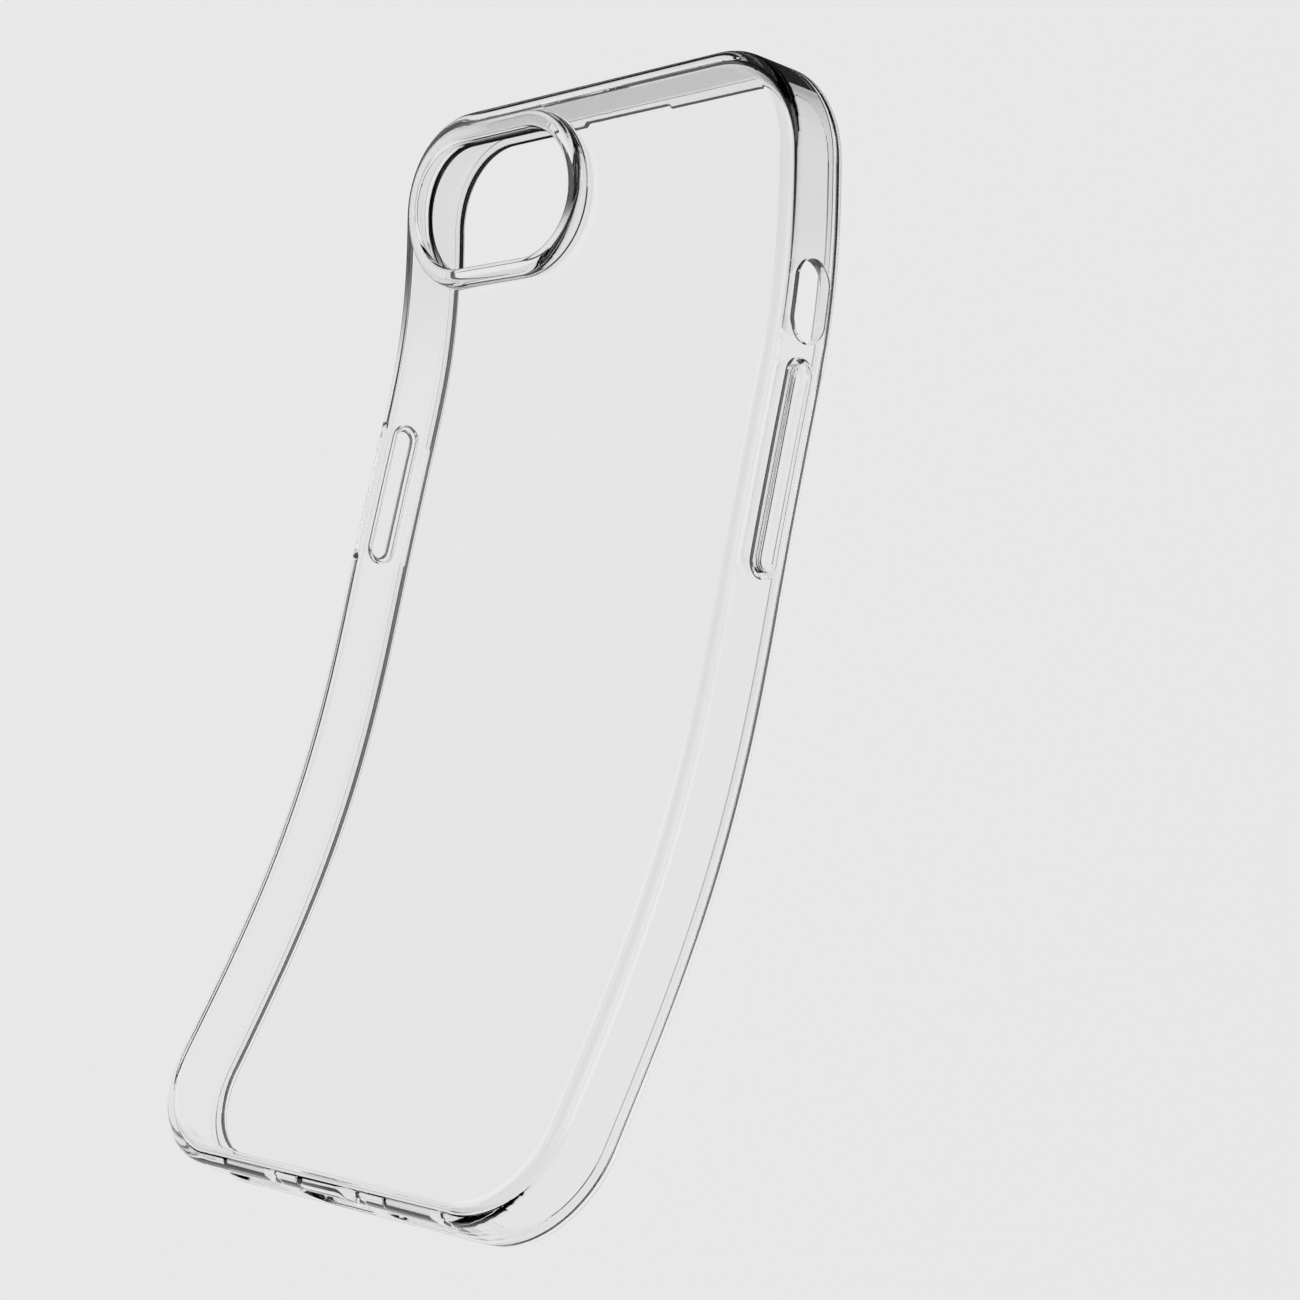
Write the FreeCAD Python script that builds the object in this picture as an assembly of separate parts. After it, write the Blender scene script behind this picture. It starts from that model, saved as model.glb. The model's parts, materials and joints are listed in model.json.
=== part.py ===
import FreeCAD, Part
import math
import os

# Clear flexible case for a slab phone, moulded in one piece from soft urethane.
# It is modelled as it is flexed backwards while it is peeled off a phone.
#
# Every piece is first made flat, in the case's own directions:
#   X  across the back, + towards the wall with the long button cover
#   Y  along the case, from the outside of the bottom wall towards the camera end
#   Z  out of the back; the outer face of the back is Z = 0 and the front is below it
# The lower and upper thirds are then bent about their fold lines, and the whole is
# moved so that the middle third stands on its front rim at Z = 0.

# ---- overall sizes (mm) ----
case_width = 74.7
case_length = 149.9
case_depth = 10.1
corner_radius = 13.6

# ---- the moulding's thicknesses ----
wall = 1.6
back = 1.4
lip_thickness = 1.0
lip_overhang = 1.2
back_edge_radius = 2.2
front_edge_radius = 0.7
seat_edge_radius = 0.9

# ---- camera opening, measured from the left and top edges ----
camera_length = 30.8
camera_height = 17.8
camera_side_gap = 5.45
camera_top_gap = 5.1
guard_width = 2.4
guard_height = 1.7
guard_edge_radius = 0.8

# ---- side features, measured from the top edge ----
button_line_depth = 5.6
action_top = 26.8
action_length = 10.3
action_height = 6.0
volume_top = 39.2
volume_length = 28.1
side_top = 42.9
side_length = 20.5
cover_height = 4.1
cover_groove = 0.65
cover_clearance = 0.1
cover_web = 0.5
cover_web_setback = 0.2
cover_proud = 0.45
cover_edge_radius = 0.3

# ---- openings in the bottom wall ----
port_length = 11.8
port_height = 6.0
slot_length = 10.6
slot_height = 3.0
slot_start = 10.4

# ---- notch of the earpiece in the top lip ----
notch_length = 15.6
notch_depth = 0.5

# ---- fold lines and how far each end is bent ----
lower_fold_below_volume = 20.6
fold_gap = 0.3
lower_bend = 12.2
upper_bend = 10.9

# ---- where the moulding is divided ----
corner_margin = 1.0
reach = 5.0

half_width = case_width / 2
band = wall + lip_overhang
corner_zone = corner_radius + corner_margin
lip_plane = -(case_depth - lip_thickness)
volume_end = case_length - volume_top
upper_fold = (volume_end + case_length - action_top - action_length) / 2
lower_fold = volume_end - volume_length - lower_fold_below_volume
pad_height = cover_height - 2 * cover_groove
web_height = cover_height - 2 * cover_clearance

UP = FreeCAD.Vector(0, 0, 1)
ACROSS = FreeCAD.Vector(1, 0, 0)
ALONG = FreeCAD.Vector(0, 1, 0)


def block(x0, x1, y0, y1, z0, z1):
    """A box between two corners."""
    return Part.makeBox(x1 - x0, y1 - y0, z1 - z0, FreeCAD.Vector(x0, y0, z0))


def corner_arc(centre_x, centre_y, radius, start):
    """A quarter turn that begins at the angle start, in degrees."""
    points = []
    for turn in (start, start + 45, start + 90):
        angle = math.radians(turn)
        x = centre_x + radius * math.cos(angle)
        y = centre_y + radius * math.sin(angle)
        points.append(FreeCAD.Vector(x, y, 0))
    return Part.Arc(*points).toShape()


def rounded_plate(inset, z0, z1):
    """The case's outline moved inwards by inset, as a plate from z0 to z1."""
    radius = corner_radius - inset
    left = -half_width + corner_radius
    right = half_width - corner_radius
    low = corner_radius
    high = case_length - corner_radius
    arcs = [
        corner_arc(right, low, radius, -90),
        corner_arc(right, high, radius, 0),
        corner_arc(left, high, radius, 90),
        corner_arc(left, low, radius, 180),
    ]
    edges = []
    for arc, following in zip(arcs, arcs[1:] + arcs[:1]):
        edges.append(arc)
        edges.append(Part.makeLine(arc.Vertexes[-1].Point, following.Vertexes[0].Point))
    plate = Part.Face(Part.Wire(edges)).extrude(UP * (z1 - z0))
    plate.translate(UP * z0)
    return plate


def stadium(length, height, z0, z1):
    """A plate with half-round ends, long along X, centred on the Z axis."""
    radius = height / 2
    run = length / 2 - radius
    right = Part.Arc(
        FreeCAD.Vector(run, -radius, 0),
        FreeCAD.Vector(run + radius, 0, 0),
        FreeCAD.Vector(run, radius, 0),
    ).toShape()
    left = Part.Arc(
        FreeCAD.Vector(-run, radius, 0),
        FreeCAD.Vector(-run - radius, 0, 0),
        FreeCAD.Vector(-run, -radius, 0),
    ).toShape()
    top = Part.makeLine(FreeCAD.Vector(run, radius, 0), FreeCAD.Vector(-run, radius, 0))
    bottom = Part.makeLine(FreeCAD.Vector(-run, -radius, 0), FreeCAD.Vector(run, -radius, 0))
    plate = Part.Face(Part.Wire([right, top, left, bottom])).extrude(UP * (z1 - z0))
    plate.translate(UP * z0)
    return plate


def edges_at(shape, z):
    """The edges that lie in the plane of this height."""
    found = []
    for edge in shape.Edges:
        if all(abs(vertex.Z - z) < 1e-6 for vertex in edge.Vertexes):
            found.append(edge)
    return found


def on_side_wall(shape, side, centre_y):
    """Lays a stadium along Y in one side wall (1 right, -1 left), its own Z pointing outwards."""
    placed = shape.copy()
    placed.rotate(FreeCAD.Vector(), UP, 90)
    placed.rotate(FreeCAD.Vector(), ALONG, 90 * side)
    placed.translate(FreeCAD.Vector(side * half_width, centre_y, -button_line_depth))
    return placed


def on_bottom_wall(shape, centre_x):
    """Turns a stadium to lie along X in the bottom wall, its own Z pointing outwards."""
    placed = shape.copy()
    placed.rotate(FreeCAD.Vector(), ACROSS, 90)
    placed.translate(FreeCAD.Vector(centre_x, 0, -button_line_depth))
    return placed


def outer_form():
    """The outside of the case: a rounded slab, softer round its back edge than round its front one."""
    form = rounded_plate(0, -case_depth, 0)
    form = form.makeFillet(back_edge_radius, edges_at(form, 0))
    return form.makeFillet(front_edge_radius, edges_at(form, -case_depth))


def phone_space():
    """The space for the phone, closed by the back and held in by the lip, with the screen opening."""
    seat = rounded_plate(wall, lip_plane, -back)
    seat = seat.makeFillet(seat_edge_radius, edges_at(seat, -back))
    screen = rounded_plate(band, -case_depth - reach, lip_plane + lip_thickness)
    return seat.fuse(screen)


def camera_centre():
    """The middle of the camera opening."""
    x = -half_width + camera_side_gap + camera_length / 2
    y = case_length - camera_top_gap - camera_height / 2
    return FreeCAD.Vector(x, y, 0)


def camera_hole():
    """The opening through the back for the camera block."""
    hole = stadium(camera_length, camera_height, -back - reach, guard_height + reach)
    hole.translate(camera_centre())
    return hole


def camera_guard():
    """The raised rim that keeps the lenses off the table."""
    outer = stadium(camera_length + 2 * guard_width, camera_height + 2 * guard_width, 0, guard_height)
    rim = outer.cut(stadium(camera_length, camera_height, -reach, guard_height + reach))
    rim = rim.makeFillet(guard_edge_radius, edges_at(rim, guard_height))
    rim.translate(camera_centre())
    return rim


def wall_openings():
    """The openings through the walls: both button covers' seats, the action button, port and slots."""
    through = (-wall - reach / 2, reach)
    found = [on_bottom_wall(stadium(port_length, port_height, *through), 0)]
    for side, top, length, height in (
        (1, volume_top, volume_length, cover_height),
        (-1, side_top, side_length, cover_height),
        (1, action_top, action_length, action_height),
    ):
        opening = stadium(length, height, *through)
        found.append(on_side_wall(opening, side, case_length - top - length / 2))
    for side in (-1, 1):
        centre = side * (slot_start + slot_length / 2)
        found.append(on_bottom_wall(stadium(slot_length, slot_height, *through), centre))
    return found


def moulding():
    """The whole shell before it is divided."""
    shell = outer_form().cut(phone_space())
    shell = shell.cut(camera_hole())
    for opening in wall_openings():
        shell = shell.cut(opening)
    notch = block(
        -notch_length / 2, notch_length / 2,
        case_length - band - reach, case_length - band + notch_depth,
        -case_depth - reach, lip_plane,
    )
    return shell.cut(notch)


def cover_web_plate(length):
    """The thin skin that joins a button cover to the wall round it."""
    return stadium(
        length - 2 * cover_clearance, web_height,
        -wall + cover_web_setback, -wall + cover_web_setback + cover_web,
    )


def cover_pad(length):
    """The thick pad of a button cover, a little proud of the wall."""
    pad = stadium(length - 2 * cover_groove, pad_height, -wall + cover_web_setback + cover_web, cover_proud)
    return pad.makeFillet(cover_edge_radius, edges_at(pad, cover_proud))


def shell_nodes():
    """The flat moulding divided at its natural borders: {node: (third, shape)}."""
    shell = moulding()
    panel = rounded_plate(band, -back - lip_overhang / 2, guard_height)
    rim = shell.cut(panel)
    sheet = shell.common(panel)
    end = case_length + reach
    side = half_width + reach
    thirds = {
        "lower": (-reach, lower_fold - fold_gap / 2),
        "middle": (lower_fold + fold_gap / 2, upper_fold - fold_gap / 2),
        "upper": (upper_fold + fold_gap / 2, end),
    }
    low_corner = corner_zone
    high_corner = case_length - corner_zone
    inner = half_width - corner_zone
    deep = -case_depth - reach
    nodes = {}
    for third, (y0, y1) in thirds.items():
        nodes["back_panel_" + third] = (third, sheet.common(block(-side, side, y0, y1, deep, reach)))
        run0 = max(y0, low_corner)
        run1 = min(y1, high_corner)
        for name, x0, x1 in (("left", -side, 0), ("right", 0, side)):
            wall_zone = block(x0, x1, run0, run1, lip_plane, reach)
            lip_zone = block(x0, x1, run0, run1, deep, lip_plane)
            nodes[name + "_wall_" + third] = (third, rim.common(wall_zone))
            nodes[name + "_lip_" + third] = (third, rim.common(lip_zone))
    for third, name, y0, y1 in (("lower", "bottom", -reach, low_corner), ("upper", "top", high_corner, end)):
        nodes[name + "_wall"] = (third, rim.common(block(-inner, inner, y0, y1, lip_plane, reach)))
        nodes[name + "_lip"] = (third, rim.common(block(-inner, inner, y0, y1, deep, lip_plane)))
        nodes[name + "_left_corner"] = (third, rim.common(block(-side, -inner, y0, y1, deep, reach)))
        nodes[name + "_right_corner"] = (third, rim.common(block(inner, side, y0, y1, deep, reach)))
    nodes["camera_guard_ring"] = ("upper", camera_guard())
    return nodes


def cover_nodes():
    """The two button covers, each a pad on its thin skin."""
    nodes = {}
    volume_middle = volume_end - volume_length / 2
    side_middle = case_length - side_top - side_length / 2
    for name, length, side, middle in (
        ("volume_button", volume_length, 1, volume_middle),
        ("side_button", side_length, -1, side_middle),
    ):
        nodes[name + "_pad"] = ("middle", on_side_wall(cover_pad(length), side, middle))
        nodes[name + "_web"] = ("middle", on_side_wall(cover_web_plate(length), side, middle))
    return nodes


def bend(third, shape):
    """Turns a piece of an end third towards the back, about its fold line on the outer face."""
    bent = shape.copy()
    if third == "lower":
        bent.rotate(FreeCAD.Vector(0, lower_fold, 0), ACROSS, -lower_bend)
    if third == "upper":
        bent.rotate(FreeCAD.Vector(0, upper_fold, 0), ACROSS, upper_bend)
    return bent


def one_solid(shape):
    """The piece's solid, or all of them if it has several."""
    solids = shape.Solids
    if len(solids) == 1:
        return solids[0]
    return Part.makeCompound(solids)


def main():
    os.makedirs("parts", exist_ok=True)
    placed = {}
    for name, (third, shape) in {**shell_nodes(), **cover_nodes()}.items():
        placed[name] = bend(third, one_solid(shape))
    box = Part.makeCompound(list(placed.values())).optimalBoundingBox(False)
    to_origin = FreeCAD.Vector(-(box.XMin + box.XMax) / 2, -(box.YMin + box.YMax) / 2, -box.ZMin)
    total = 0
    for name, shape in placed.items():
        shape.translate(to_origin)
        shape.exportStep("parts/" + name + ".step")
        total += shape.Volume
        print("%-24s solids %d, volume %.1f" % (name, len(shape.Solids), shape.Volume))
    print("volume %.0f mm3, box %.2f x %.2f x %.2f" % (total, box.XLength, box.YLength, box.ZLength))
    print("moved by %.4f %.4f %.4f" % (to_origin.x, to_origin.y, to_origin.z))
    print("lower fold y %.4f, upper fold y %.4f" % (lower_fold + to_origin.y, upper_fold + to_origin.y))
    print("volume cover y %.4f" % (volume_end - volume_length / 2 + to_origin.y))


main()
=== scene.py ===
import json
import math
import bmesh
import bpy
import numpy as np
from mathutils import Matrix, Vector


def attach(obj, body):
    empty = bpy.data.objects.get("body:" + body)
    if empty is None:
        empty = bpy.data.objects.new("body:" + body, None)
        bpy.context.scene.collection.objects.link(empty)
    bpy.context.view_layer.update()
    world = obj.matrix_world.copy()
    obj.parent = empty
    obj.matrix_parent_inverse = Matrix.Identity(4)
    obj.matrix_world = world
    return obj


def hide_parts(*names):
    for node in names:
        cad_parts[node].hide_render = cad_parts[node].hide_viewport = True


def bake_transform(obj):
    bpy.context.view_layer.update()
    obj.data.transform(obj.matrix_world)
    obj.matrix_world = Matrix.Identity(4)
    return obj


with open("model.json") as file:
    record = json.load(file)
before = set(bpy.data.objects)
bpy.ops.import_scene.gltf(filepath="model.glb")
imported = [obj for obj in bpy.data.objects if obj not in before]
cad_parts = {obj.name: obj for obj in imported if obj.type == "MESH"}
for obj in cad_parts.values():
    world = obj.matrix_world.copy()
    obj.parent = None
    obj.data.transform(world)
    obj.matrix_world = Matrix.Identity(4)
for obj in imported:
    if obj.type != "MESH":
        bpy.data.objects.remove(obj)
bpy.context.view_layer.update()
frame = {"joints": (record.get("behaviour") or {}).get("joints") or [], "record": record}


# ---------------------------------------------------------------------------
# The shell. One moulding of crystal-clear soft urethane: a back sheet, walls, a
# lip over the front and a raised guard round the cameras. It is drawn flat, as
# it leaves the mould, and then bent as it is peeled off a phone.
# ---------------------------------------------------------------------------
mm = 0.001
joints = {joint["name"]: joint for joint in frame["joints"]}
lower_fold = Vector(joints["lower_flex"]["pos_m"])
upper_fold = Vector(joints["upper_flex"]["pos_m"])
lower_bend = math.radians(-joints["lower_flex"]["range_deg"][0])
upper_bend = math.radians(-joints["upper_flex"]["range_deg"][0])

case_length = 149.9 * mm
bottom_to_lower_fold = 62.0 * mm
half_width = 37.35 * mm
back_z = lower_fold.z
bottom_y = lower_fold.y - bottom_to_lower_fold
top_y = bottom_y + case_length
corner_radius = 13.6 * mm
wall = 1.6 * mm
back = 1.4 * mm
lip = 1.0 * mm
lip_edge = 2.8 * mm
back_radius = 2.2 * mm
front_radius = 0.7 * mm
seat_radius = 0.7 * mm
lip_radius = 0.35 * mm
root_radius = 0.2 * mm
corner_steps = 22
# A narrow band beside each round, which keeps the flat faces looking flat.
settle = 0.15 * mm

button_z = back_z - 5.6 * mm
cover_height = 4.1 * mm
volume_cover_y, volume_cover_length = bottom_y + 96.65 * mm, 28.1 * mm
side_cover_y, side_cover_length = bottom_y + 96.75 * mm, 20.5 * mm
action_hole_y, action_hole_length = bottom_y + 117.95 * mm, 10.3 * mm

# The stretches of wall that are left out of the sweep, and filled round their openings afterwards.
volume_window = (bottom_y + 81.6 * mm, bottom_y + 111.7 * mm)
action_window = (bottom_y + 111.9 * mm, bottom_y + 124.2 * mm)
side_window = (bottom_y + 85.6 * mm, bottom_y + 108.0 * mm)
bottom_window = (-22.2 * mm, 22.2 * mm)
notch_half = 7.8 * mm
notch_depth = 0.5 * mm


def corner_stations(centre_x, centre_y, start):
    """Points round one outer corner, as (x, y, out_x, out_y, notch): the place, the way out and the lip's
    notch."""
    found = []
    for step in range(corner_steps + 1):
        angle = math.radians(start + 90 * step / corner_steps)
        out_x, out_y = math.cos(angle), math.sin(angle)
        x, y = centre_x + corner_radius * out_x, centre_y + corner_radius * out_y
        found.append((x, y, out_x, out_y, 0.0))
    return found


left_x, right_x = -half_width + corner_radius, half_width - corner_radius
low_y, high_y = bottom_y + corner_radius, top_y - corner_radius
stations = corner_stations(right_x, low_y, -90)
window_starts = {}
for name, window in (("volume", volume_window), ("action", action_window)):
    window_starts[name] = len(stations)
    stations += [(half_width, y, 1.0, 0.0, 0.0) for y in window]
stations += corner_stations(right_x, high_y, 0)
for x, notch in (
    (notch_half + notch_depth, 0.0), (notch_half, notch_depth),
    (-notch_half, notch_depth), (-notch_half - notch_depth, 0.0),
):
    stations.append((x, top_y, 0.0, 1.0, notch))
stations += corner_stations(left_x, high_y, 90)
window_starts["side"] = len(stations)
stations += [(-half_width, y, -1.0, 0.0, 0.0) for y in reversed(side_window)]
stations += corner_stations(left_x, low_y, 180)
window_starts["bottom"] = len(stations)
stations += [(x, bottom_y, 0.0, -1.0, 0.0) for x in bottom_window]


def quarter(centre_a, centre_b, radius, start, end, steps):
    """Points along a quarter round, as (a, b) pairs; angles in degrees."""
    found = []
    for step in range(steps + 1):
        angle = math.radians(start + (end - start) * step / steps)
        found.append((centre_a + radius * math.cos(angle), centre_b + radius * math.sin(angle)))
    return found


# The wall's section, from the back's outer face over the edge, down the outside, round the lip and up
# the inside to the back's inner face: (distance in from the outside, depth below the back). The rim is
# at z = 0, so the case is back_z deep.
section = [(back_radius + settle, 0.0)]
section += quarter(back_radius, back_radius, back_radius, -90, -180, 9)
outer_wall = len(section)
section += [(0.0, back_radius + settle)]
section += [(0.0, back_z - front_radius - settle)]
section += quarter(front_radius, back_z - front_radius, front_radius, 180, 90, 5)
section += [(front_radius + settle, back_z), (lip_edge - lip_radius - settle, back_z)]
section += quarter(lip_edge - lip_radius, back_z - lip_radius, lip_radius, 90, 0, 4)
section += quarter(lip_edge - lip_radius, back_z - lip + lip_radius, lip_radius, 0, -90, 4)
section += [(wall + root_radius + settle / 2, back_z - lip)]
section += quarter(wall + root_radius, back_z - lip - root_radius, root_radius, 90, 180, 2)
inner_wall = len(section)
section += [(wall, back_z - lip - root_radius - settle)]
section += [(wall, back + seat_radius + settle)]
section += quarter(wall + seat_radius, back + seat_radius, seat_radius, 180, 270, 6)
section += [(wall + seat_radius + settle, back)]

# Points further in than this are the lip's edge, and step back at the notch over the earpiece.
lip_start = lip_edge - lip_radius - 1.5 * settle


def ring_quads(bm, rings, skip=()):
    """Joins each ring to the next with four-sided faces, but for the (ring, step) pairs in skip."""
    count = len(rings[0])
    for level in range(len(rings) - 1):
        for step in range(count):
            if (level, step) in skip:
                continue
            following = (step + 1) % count
            bm.faces.new((
                rings[level][step], rings[level][following],
                rings[level + 1][following], rings[level + 1][step],
            ))


def loop_edges(bm, corners):
    """The edges round a closed loop of corners, made where they are missing."""
    return [bm.edges.get(pair) or bm.edges.new(pair) for pair in zip(corners, corners[1:] + corners[:1])]


def stadium(length, height, grow, steps):
    """Points round a slot with half-round ends, grown outwards by grow, as (u, v) with u along the slot."""
    radius = height / 2 + grow
    run = (length - height) / 2
    found = []
    for side, start in ((run, -90), (-run, 90)):
        for step in range(steps + 1):
            angle = math.radians(start + 180 * step / steps)
            found.append((side + radius * math.cos(angle), radius * math.sin(angle)))
    return found


def tube(bm, length, height, profile, place, steps):
    """A slot's surface, swept along its outline. The profile is pairs of growth and depth, and place turns
    (u, v, depth) into a point."""
    rings = []
    for grow, down in profile:
        rings.append([bm.verts.new(place(u, v, down)) for u, v in stadium(length, height, grow, steps)])
    ring_quads(bm, rings)
    return rings[0], rings[-1]


def on_right(centre_y):
    return lambda u, v, down: (half_width - down, centre_y + u, button_z + v)


def on_left(centre_y):
    return lambda u, v, down: (-half_width + down, centre_y + u, button_z + v)


def on_bottom(centre_x):
    return lambda u, v, down: (centre_x + u, bottom_y + down, button_z + v)


def hole_profile(radius, margin):
    """A hole through the wall with both edges rounded, with a narrow flat margin round each."""
    profile = [(radius + margin, 0.0)]
    profile += quarter(radius, radius, radius, -90, -180, 4)
    profile += quarter(radius, wall - radius, radius, 180, 90, 4)
    return profile + [(radius + margin, wall)]


shell_mesh = bmesh.new()
grid = []
for inset, down in section:
    row = []
    for x, y, out_x, out_y, notch in stations:
        shift = inset - (notch if lip_start < inset else 0.0)
        row.append(shell_mesh.verts.new((x - out_x * shift, y - out_y * shift, back_z - down)))
    grid.append(row)
open_steps = [(level, start) for level in (outer_wall, inner_wall) for start in window_starts.values()]
ring_quads(shell_mesh, grid, set(open_steps))

# The openings in the walls: the seats of the two button covers, the hole over the action button,
# and the port between two sound slots. Each is a rounded hole through one wall.
edge_radius = 0.22 * mm
margin = 0.06 * mm
hole_steps = 18
hole_height = 5.5 * mm
port_length = 11.8 * mm
slot_length, slot_height, slot_x = 10.6 * mm, 3.0 * mm, 15.7 * mm
holes = {
    "volume": [(volume_cover_length, cover_height, on_right(volume_cover_y))],
    "action": [(action_hole_length, hole_height, on_right(action_hole_y))],
    "side": [(side_cover_length, cover_height, on_left(side_cover_y))],
    "bottom": [
        (slot_length, slot_height, on_bottom(-slot_x)),
        (port_length, hole_height, on_bottom(0.0)),
        (slot_length, slot_height, on_bottom(slot_x)),
    ],
}
for name, slots in holes.items():
    start = window_starts[name]
    outer_edges = []
    inner_edges = []
    for edges, level in ((outer_edges, outer_wall), (inner_edges, inner_wall)):
        above, below = grid[level], grid[level + 1]
        window_rim = [above[start], above[start + 1], below[start + 1], below[start]]
        edges += loop_edges(shell_mesh, window_rim)
    for length, height, place in slots:
        profile = hole_profile(edge_radius, margin)
        first, last = tube(shell_mesh, length, height, profile, place, hole_steps)
        outer_edges += loop_edges(shell_mesh, first)
        inner_edges += loop_edges(shell_mesh, last)
    for edges in (outer_edges, inner_edges):
        bmesh.ops.triangle_fill(shell_mesh, edges=edges, use_beauty=True)

# The camera opening and its guard, which is one smooth rim that rises from the back and
# rolls over into the opening.
opening_x, opening_y = -16.5 * mm, bottom_y + 135.9 * mm
opening_length, opening_height = 30.8 * mm, 17.8 * mm
guard_steps = 40
guard_width, guard_height = 2.4 * mm, 1.7 * mm
guard_round, inner_round, foot = 1.0 * mm, 0.75 * mm, 0.25 * mm
guard = [(guard_width + foot + 0.08 * mm, 0.0)]
guard += quarter(guard_width + foot, -foot, foot, 90, 180, 3)
guard += quarter(guard_width - guard_round, -guard_height + guard_round, guard_round, 0, -90, 8)
guard += quarter(inner_round, -guard_height + inner_round, inner_round, -90, -180, 8)
guard += quarter(edge_radius, back - edge_radius, edge_radius, 180, 90, 4)
guard += [(edge_radius + settle, back)]
guard_foot, guard_end = tube(
    shell_mesh, opening_length, opening_height, guard,
    lambda u, v, down: (opening_x + u, opening_y + v, back_z - down), guard_steps,
)
for rim, ring in ((grid[0], guard_foot), (grid[-1], guard_end)):
    edges = loop_edges(shell_mesh, rim) + loop_edges(shell_mesh, ring)
    bmesh.ops.triangle_fill(shell_mesh, edges=edges, use_beauty=True)
bmesh.ops.recalc_face_normals(shell_mesh, faces=shell_mesh.faces[:])

# Fine steps across the case where it bends, so that the sheet curves smoothly.
join_y = bottom_y + 96.0 * mm
lower_start = bottom_y + 92.0 * mm
upper_start = bottom_y + 100.0 * mm
lower_reach = 96.0 * mm
upper_reach = 50.0 * mm
bend_step = 2.0 * mm
same_point = 1e-7
levels = list(np.arange(lower_start, bottom_y + bend_step / 2, -bend_step))
levels += list(np.arange(upper_start, top_y - bend_step / 2, bend_step))
for y in levels:
    bmesh.ops.bisect_plane(
        shell_mesh, geom=shell_mesh.verts[:] + shell_mesh.edges[:] + shell_mesh.faces[:],
        dist=same_point, plane_co=(0, y, 0), plane_no=(0, 1, 0),
    )


def bent(points, fold, direction, start, reach, angle):
    """Turns flat points towards the back about a fold line, by a share of the angle that grows smoothly
    from start over the reach. The share goes by where a point ends up, so it is found by repeating."""
    result = points.copy()
    for _ in range(12):
        share = np.clip((result[:, 1] - start) * direction / reach, 0, 1)
        turn = angle * share * share * (3 - 2 * share)
        along = (points[:, 1] - fold.y) * direction
        up = points[:, 2] - fold.z
        result[:, 1] = fold.y + direction * (along * np.cos(turn) - up * np.sin(turn))
        result[:, 2] = fold.z + along * np.sin(turn) + up * np.cos(turn)
    return result


def half_of_shell(name, keep_upper):
    """One half of the shell as its own closed mesh, cut where the middle stays straight."""
    bm = shell_mesh.copy()
    cut = bmesh.ops.bisect_plane(
        bm, geom=bm.verts[:] + bm.edges[:] + bm.faces[:],
        dist=same_point, plane_co=(0, join_y, 0), plane_no=(0, 1, 0),
        clear_inner=keep_upper, clear_outer=not keep_upper,
    )
    rims = [item for item in cut["geom_cut"] if isinstance(item, bmesh.types.BMEdge)]
    for face in bm.faces:
        face.smooth = True
    caps = bmesh.ops.edgeloop_fill(bm, edges=rims, mat_nr=1)["faces"]
    for face in caps:
        face.smooth = False
    for edge in rims:
        edge.smooth = False
    bmesh.ops.recalc_face_normals(bm, faces=bm.faces[:])
    mesh = bpy.data.meshes.new(name)
    bm.to_mesh(mesh)
    bm.free()
    points = np.empty(len(mesh.vertices) * 3)
    mesh.vertices.foreach_get("co", points)
    points = points.reshape(-1, 3)
    if keep_upper:
        points = bent(points, upper_fold, 1, upper_start, upper_reach, upper_bend)
    else:
        points = bent(points, lower_fold, -1, lower_start, lower_reach, lower_bend)
    mesh.vertices.foreach_set("co", points.ravel())
    mesh.update()
    piece = bpy.data.objects.new(name, mesh)
    bpy.context.collection.objects.link(piece)
    even = piece.modifiers.new("even_normals", "WEIGHTED_NORMAL")
    even.keep_sharp = True
    even.weight = 80
    return piece


shell_lower = half_of_shell("shell_lower_half", False)
shell_upper = half_of_shell("shell_upper_half", True)
shell_mesh.free()


def effect_group(name, inputs, outputs):
    """An empty node group with named number inputs and outputs."""
    group = bpy.data.node_groups.new(name, "ShaderNodeTree")
    for label, value in inputs:
        socket = group.interface.new_socket(label, in_out="INPUT", socket_type="NodeSocketFloat")
        socket.default_value = value
    for label in outputs:
        group.interface.new_socket(label, in_out="OUTPUT", socket_type="NodeSocketFloat")
    return group, group.nodes.new("NodeGroupInput"), group.nodes.new("NodeGroupOutput")


# What handling leaves on polished urethane: a faint unevenness from the mould and soft smudges.
handling, handling_in, handling_out = effect_group(
    "handled_gloss",
    [("Wave Size", 60.0), ("Smudge Size", 25.0), ("Clean", 0.0), ("Smudged", 0.06)],
    ["Roughness", "Height"],
)
places = handling.nodes.new("ShaderNodeTexCoord")
wave = handling.nodes.new("ShaderNodeTexNoise")
wave.inputs["Detail"].default_value = 2.0
smudge = handling.nodes.new("ShaderNodeTexNoise")
smudge.inputs["Detail"].default_value = 5.0
spread = handling.nodes.new("ShaderNodeMapRange")
spread.inputs["From Min"].default_value = 0.45
spread.inputs["From Max"].default_value = 0.8
handling.links.new(places.outputs["Object"], wave.inputs["Vector"])
handling.links.new(places.outputs["Object"], smudge.inputs["Vector"])
handling.links.new(handling_in.outputs["Wave Size"], wave.inputs["Scale"])
handling.links.new(handling_in.outputs["Smudge Size"], smudge.inputs["Scale"])
handling.links.new(smudge.outputs["Fac"], spread.inputs["Value"])
handling.links.new(handling_in.outputs["Clean"], spread.inputs["To Min"])
handling.links.new(handling_in.outputs["Smudged"], spread.inputs["To Max"])
handling.links.new(spread.outputs["Result"], handling_out.inputs["Roughness"])
handling.links.new(wave.outputs["Fac"], handling_out.inputs["Height"])


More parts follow.
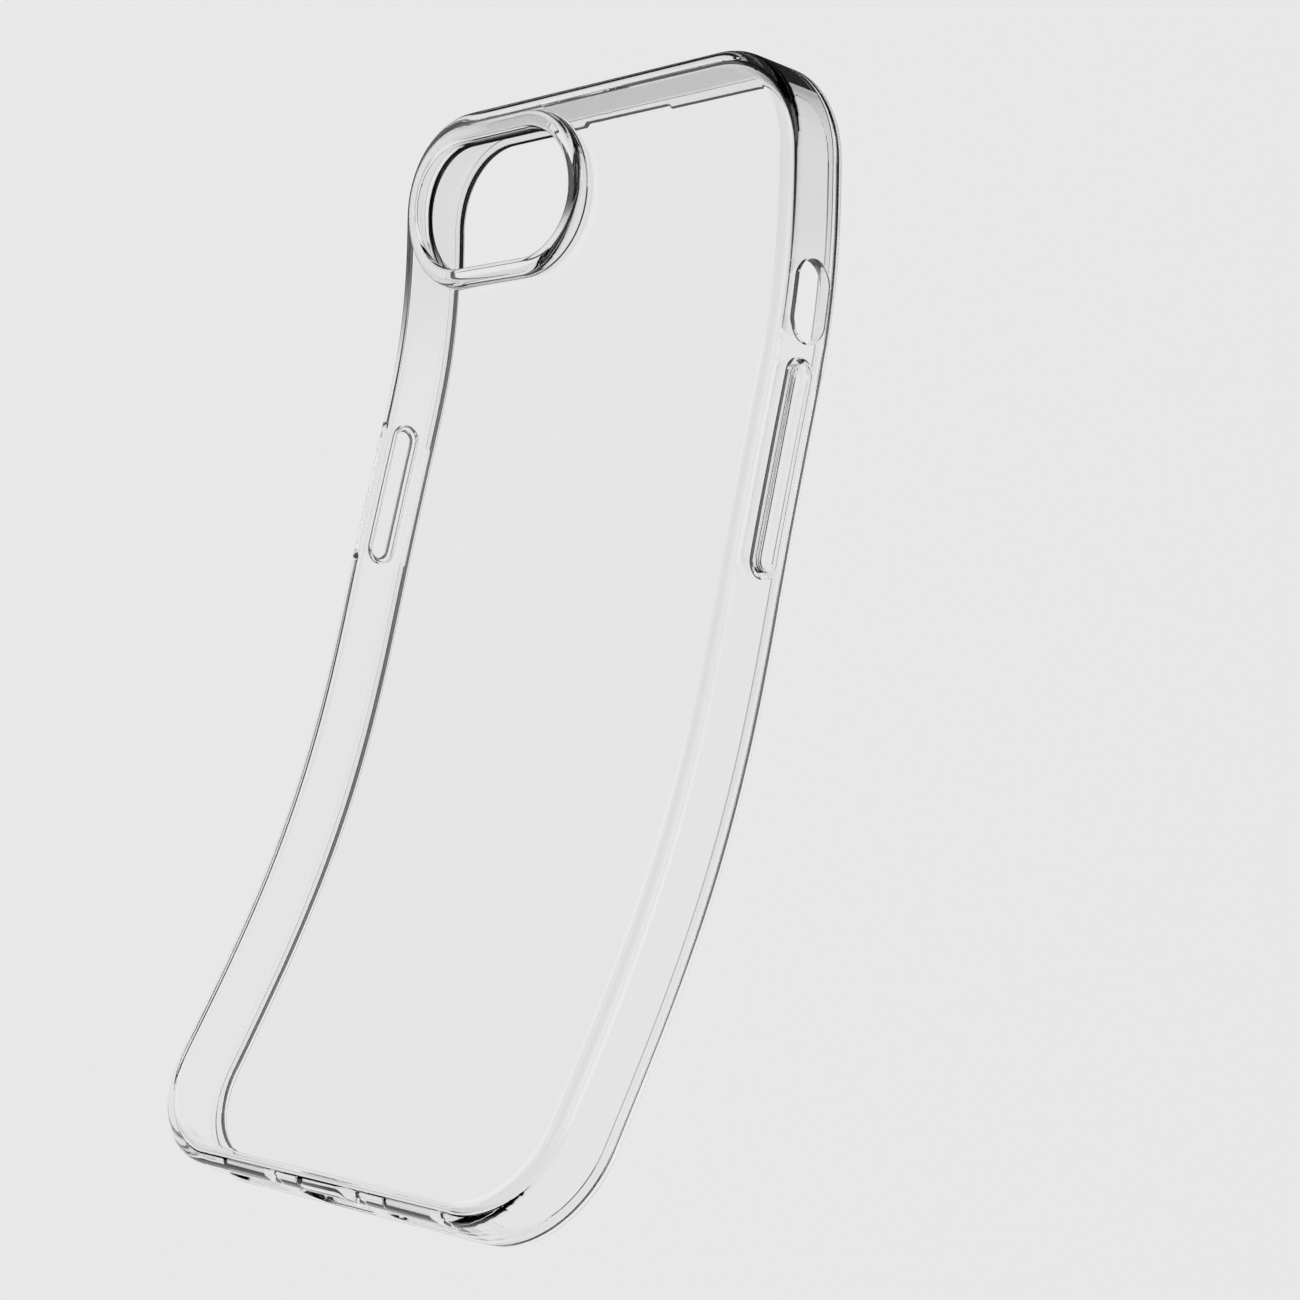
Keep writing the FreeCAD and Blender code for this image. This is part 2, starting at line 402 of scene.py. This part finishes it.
def clear_urethane(name, wave_size, wave_height):
    """Crystal-clear soft urethane. Light from lamps and from the floor goes straight through it, so that it
    neither darkens nor doubles the light on what it stands on."""
    material = bpy.data.materials.new(name)
    material.use_nodes = True
    nodes, links = material.node_tree.nodes, material.node_tree.links
    nodes.clear()
    gloss = nodes.new("ShaderNodeBsdfPrincipled")
    gloss.inputs["Base Color"].default_value = (0.995, 0.995, 0.996, 1)
    gloss.inputs["Transmission Weight"].default_value = 1.0
    gloss.inputs["IOR"].default_value = 1.5
    surface = nodes.new("ShaderNodeGroup")
    surface.node_tree = handling
    surface.inputs["Wave Size"].default_value = wave_size
    bump = nodes.new("ShaderNodeBump")
    bump.inputs["Distance"].default_value = wave_height
    links.new(surface.outputs["Roughness"], gloss.inputs["Roughness"])
    links.new(surface.outputs["Height"], bump.inputs["Height"])
    links.new(bump.outputs["Normal"], gloss.inputs["Normal"])
    light_path = nodes.new("ShaderNodeLightPath")
    lighting = nodes.new("ShaderNodeMath")
    lighting.operation = "MAXIMUM"
    open_air = nodes.new("ShaderNodeBsdfTransparent")
    either = nodes.new("ShaderNodeMixShader")
    out = nodes.new("ShaderNodeOutputMaterial")
    links.new(light_path.outputs["Is Shadow Ray"], lighting.inputs[0])
    links.new(light_path.outputs["Is Diffuse Ray"], lighting.inputs[1])
    links.new(lighting.outputs[0], either.inputs[0])
    links.new(gloss.outputs[0], either.inputs[1])
    links.new(open_air.outputs[0], either.inputs[2])
    links.new(either.outputs[0], out.inputs["Surface"])
    return material


# Inside the joined halves the urethane runs on, so the faces of the cut don't show.
run_through = bpy.data.materials.new("joined_inside")
run_through.use_nodes = True
run_through.node_tree.nodes.clear()
inside = run_through.node_tree.nodes.new("ShaderNodeBsdfTransparent")
inside_out = run_through.node_tree.nodes.new("ShaderNodeOutputMaterial")
run_through.node_tree.links.new(inside.outputs[0], inside_out.inputs["Surface"])

shell_gloss = clear_urethane("clear_urethane_shell", 60.0, 0.00002)
for piece in (shell_lower, shell_upper):
    piece.data.materials.append(shell_gloss)
    piece.data.materials.append(run_through)
bodies = frame["record"]["behaviour"]["bodies"]
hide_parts(*bodies["lower_shell"], *bodies["middle_shell"])
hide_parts(*bodies["upper_shell"])
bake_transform(shell_lower)
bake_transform(shell_upper)


# ---------------------------------------------------------------------------
# The button covers. Each is a pad of the same urethane over the phone's own
# button, in a groove where only a thin skin joins it to the wall, so that a
# thumb can press it. The long one spans both volume buttons.
# ---------------------------------------------------------------------------
cover_gap = 0.16 * mm
groove = 0.65 * mm
web_front, web_back = 0.9 * mm, 1.4 * mm
pad_proud = 0.45 * mm
pad_radius = 0.4 * mm
web_radius = 0.12 * mm
face_inset, edge_inset = 0.35 * mm, 0.05 * mm
cover_steps = 16


def button_cover(name, length, place):
    """A pad on its skin, swept from the pad's face over its side to the skin's back."""
    profile = [(-groove - pad_radius - inset, -pad_proud) for inset in (face_inset, edge_inset)]
    profile += quarter(-groove - pad_radius, -pad_proud + pad_radius, pad_radius, -90, 0, 5)
    profile += quarter(-groove + web_radius, web_front - web_radius, web_radius, 180, 90, 2)
    profile += quarter(-cover_gap - web_radius, web_front + web_radius, web_radius, -90, 0, 2)
    profile += quarter(-cover_gap - web_radius, web_back - web_radius, web_radius, 0, 90, 2)
    profile += [(-groove - pad_radius, web_back)]
    bm = bmesh.new()
    first, last = tube(bm, length, cover_height, profile, place, cover_steps)
    bm.faces.new(first)
    bm.faces.new(last)
    bmesh.ops.recalc_face_normals(bm, faces=bm.faces[:])
    for face in bm.faces:
        face.smooth = True
    mesh = bpy.data.meshes.new(name)
    bm.to_mesh(mesh)
    bm.free()
    piece = bpy.data.objects.new(name, mesh)
    bpy.context.collection.objects.link(piece)
    even = piece.modifiers.new("even_normals", "WEIGHTED_NORMAL")
    even.weight = 80
    return piece


cover_gloss = clear_urethane("clear_urethane_cover", 90.0, 0.00001)
for name, length, place in (
    ("volume_button_cover", volume_cover_length, on_right(volume_cover_y)),
    ("side_button_cover", side_cover_length, on_left(side_cover_y)),
):
    cover = button_cover(name, length, place)
    cover.data.materials.append(cover_gloss)
    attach(cover, name)
    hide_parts(*bodies[name])


# ---------------------------------------------------------------------------
# The floor: a wide sheet of pale matt card under the case. It is pale wherever
# it is seen, and in reflections from the camera opening outwards it shows a painted
# dark reflection, as if black card lay there, though none does.
# ---------------------------------------------------------------------------
floor_half = 6.0
floor_drop = 0.3 * mm
dark_from, dark_past = bottom_y + 115 * mm, bottom_y + 135 * mm
card_mesh = bmesh.new()
bmesh.ops.create_grid(card_mesh, x_segments=8, y_segments=8, size=floor_half)
card_data = bpy.data.meshes.new("pale_floor")
card_mesh.to_mesh(card_data)
card_mesh.free()
floor = bpy.data.objects.new("pale_floor", card_data)
floor.location.z = -floor_drop
bpy.context.collection.objects.link(floor)
card = bpy.data.materials.new("pale_card")
card.use_nodes = True
card_nodes, card_links = card.node_tree.nodes, card.node_tree.links
card_surface = card_nodes["Principled BSDF"]
card_surface.inputs["Roughness"].default_value = 0.9
card_surface.inputs["Specular IOR Level"].default_value = 0.1
card_surface.inputs["Base Color"].default_value = (0.3, 0.3, 0.3, 1)
card_surface.inputs["Emission Color"].default_value = (1, 1, 1, 1)
card_surface.inputs["Emission Strength"].default_value = 0.74


def add_math(nodes, links, operation, *terms):
    """One sum, product or comparison of numbers or of other nodes' values."""
    node = nodes.new("ShaderNodeMath")
    node.operation = operation
    for socket, term in zip(node.inputs, terms):
        if isinstance(term, (int, float)):
            socket.default_value = term
        else:
            links.new(term, socket)
    return node.outputs[0]


def card_math(operation, *terms):
    return add_math(card_nodes, card_links, operation, *terms)


ray = card_nodes.new("ShaderNodeLightPath")
card_place = card_nodes.new("ShaderNodeTexCoord")
card_axes = card_nodes.new("ShaderNodeSeparateXYZ")
card_links.new(card_place.outputs["Object"], card_axes.inputs[0])
# How much of the painted dark reflection shows, rising along the floor from dark_from to dark_past.
dark = card_nodes.new("ShaderNodeMapRange")
dark.interpolation_type = "SMOOTHSTEP"
dark.inputs["From Min"].default_value = dark_from
dark.inputs["From Max"].default_value = dark_past
card_links.new(card_axes.outputs["Y"], dark.inputs["Value"])
reflected = card_math("GREATER_THAN", ray.outputs["Glossy Depth"], 0.5)
# Painted dark reflection: glossy rays that reach the floor there see this near-black glow instead of the
# pale card.
painted_dark_reflection = card_nodes.new("ShaderNodeEmission")
painted_dark_reflection.inputs["Color"].default_value = (0.02, 0.02, 0.02, 1)
shown = card_nodes.new("ShaderNodeMixShader")
card_links.new(card_math("MULTIPLY", dark.outputs["Result"], reflected), shown.inputs[0])
card_links.new(card_surface.outputs[0], shown.inputs[1])
card_links.new(painted_dark_reflection.outputs[0], shown.inputs[2])
card_links.new(shown.outputs[0], card_nodes["Material Output"].inputs["Surface"])
floor.data.materials.append(card)


# ---------------------------------------------------------------------------
# The light: a dark studio with soft white boards. The widest stands behind the
# case and meets the floor, so that the clear edges show as dark and white lines.
# ---------------------------------------------------------------------------
# Each board is an azimuth, half its width, its lowest and highest angle, and its strength. Angles are in
# degrees, and soft is how far an edge fades.
soft = 4
studio = bpy.data.worlds.new("soft_studio")
bpy.context.scene.world = studio
studio.use_nodes = True
sky_nodes, sky_links = studio.node_tree.nodes, studio.node_tree.links
sky_nodes.clear()


def sky_math(operation, *terms):
    return add_math(sky_nodes, sky_links, operation, *terms)


def soft_step(value, start, end):
    """Rises smoothly from 0 at start to 1 at end."""
    node = sky_nodes.new("ShaderNodeMapRange")
    node.interpolation_type = "SMOOTHSTEP"
    node.inputs["From Min"].default_value = start
    node.inputs["From Max"].default_value = end
    sky_links.new(value, node.inputs["Value"])
    return node.outputs["Result"]


direction = sky_nodes.new("ShaderNodeTexCoord")
split = sky_nodes.new("ShaderNodeSeparateXYZ")
level_way = sky_nodes.new("ShaderNodeCombineXYZ")
level_unit = sky_nodes.new("ShaderNodeVectorMath")
level_unit.operation = "NORMALIZE"
sky_links.new(direction.outputs["Generated"], split.inputs[0])
sky_links.new(split.outputs["X"], level_way.inputs["X"])
sky_links.new(split.outputs["Y"], level_way.inputs["Y"])
sky_links.new(level_way.outputs[0], level_unit.inputs[0])


def cosine(degrees):
    return math.cos(math.radians(degrees))


def sine(degrees):
    return math.sin(math.radians(degrees))


def board(azimuth, half_angle, low, high, strength):
    """A white board's light, with soft edges: its azimuth from +X and its angles above the floor."""
    facing = sky_nodes.new("ShaderNodeVectorMath")
    facing.operation = "DOT_PRODUCT"
    facing.inputs[1].default_value = (cosine(azimuth), sine(azimuth), 0)
    sky_links.new(level_unit.outputs[0], facing.inputs[0])
    sideways = soft_step(facing.outputs["Value"], cosine(half_angle + soft), cosine(half_angle - soft))
    above = soft_step(split.outputs["Z"], sine(low - soft), sine(low))
    below = soft_step(split.outputs["Z"], sine(high + soft), sine(high))
    height_share = sky_math("MULTIPLY", below, strength)
    return sky_math("MULTIPLY", sky_math("MULTIPLY", sideways, above), height_share)


# The upper half of the wide board shows only in the outer gloss, not through the clear wall.
sky_path = sky_nodes.new("ShaderNodeLightPath")
outside = sky_math("LESS_THAN", sky_path.outputs["Transmission Depth"], 0.5)
light = sky_math("MULTIPLY", outside, board(164, 24, 40, 60, 2.1))
for azimuth, half_angle, low, high, strength in (
    (164, 24, -4, 36, 1.05),
    (209, 18, -4, 20, 0.8),
    (28, 22, 20, 60, 0.5),
    (28, 16, -4, 20, 2.5),
):
    light = sky_math("ADD", light, board(azimuth, half_angle, low, high, strength))

# Between the boards the studio is nearly black. The camera sees a pale backdrop instead.
glow = sky_nodes.new("ShaderNodeBackground")
sky_links.new(sky_math("ADD", light, 0.02), glow.inputs["Strength"])
backdrop = sky_nodes.new("ShaderNodeBackground")
backdrop.inputs["Strength"].default_value = 0.8
seen = sky_nodes.new("ShaderNodeMixShader")
sky_out = sky_nodes.new("ShaderNodeOutputWorld")
sky_links.new(sky_path.outputs["Is Camera Ray"], seen.inputs[0])
sky_links.new(glow.outputs[0], seen.inputs[1])
sky_links.new(backdrop.outputs[0], seen.inputs[2])
sky_links.new(seen.outputs[0], sky_out.inputs["Surface"])
bpy.context.scene.view_settings.view_transform = "Standard"


# ---------------------------------------------------------------------------
# The camera, up on the side of the long button cover.
# ---------------------------------------------------------------------------
camera_data = bpy.data.cameras.new("camera")
camera_data.lens = 65.52
camera_data.sensor_width = 36.0
camera_data.clip_start = 0.01
camera = bpy.data.objects.new("camera", camera_data)
camera_place = Vector((0.227488, bottom_y + 0.014372, back_z + 0.197481))
right = Vector((0.71534, 0.19143, -0.67205)).normalized()
behind = Vector((0.69877, -0.20002, 0.68681)).normalized()
up = behind.cross(right).normalized()
right = up.cross(behind)
camera.matrix_world = Matrix.Translation(camera_place) @ Matrix((
    (right.x, up.x, behind.x), (right.y, up.y, behind.y), (right.z, up.z, behind.z),
)).to_4x4()
bpy.context.collection.objects.link(camera)
bpy.context.scene.camera = camera
